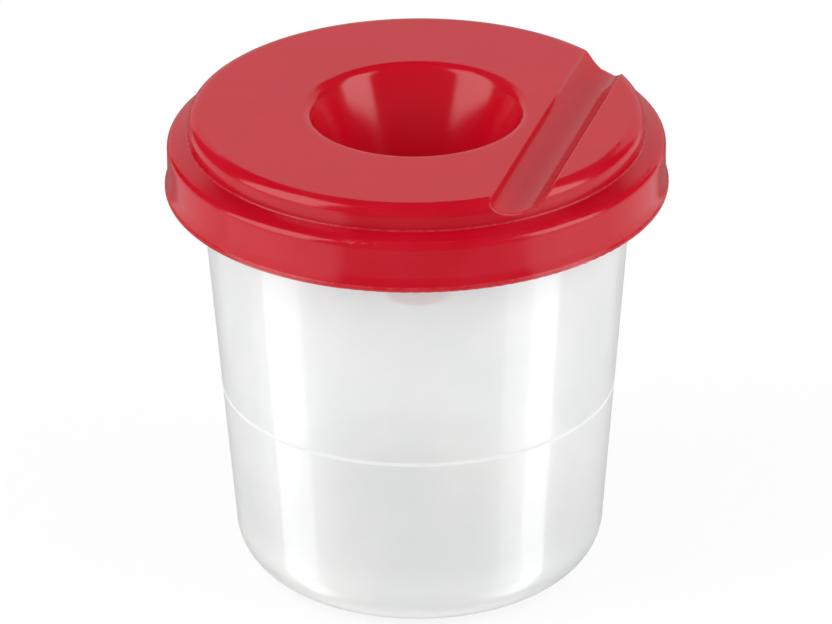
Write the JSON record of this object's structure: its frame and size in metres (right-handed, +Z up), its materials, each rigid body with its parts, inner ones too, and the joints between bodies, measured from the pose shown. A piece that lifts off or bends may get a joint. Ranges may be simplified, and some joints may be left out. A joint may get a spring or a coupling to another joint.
{
  "type": "brush washer with lid",
  "caption": "Tapered translucent cup with a press-on lid, a non-spill neck hanging into the cup and a trough across the lid to rest a brush.",
  "frame": {"origin": "centre of the cup's standing face, on the cup's axis", "axes": "+Z up along the cup's axis, Y along the brush rest, +X from the cup's axis towards the brush rest"},
  "size_m": [0.09, 0.09, 0.0887],
  "materials": {
    "cup": "translucent natural polypropylene, satin",
    "lid": "moulded red polyethylene, semi-gloss"
  },
  "bodies": {
    "cup": {"cup": "cup"},
    "lid": {"lid": "lid"}
  },
  "joints": [
    {"name": "lid_lift", "type": "slide", "parent": "cup", "child": "lid", "axis": [0, 0, 1], "range_m": [0, 0.045]}
  ]
}
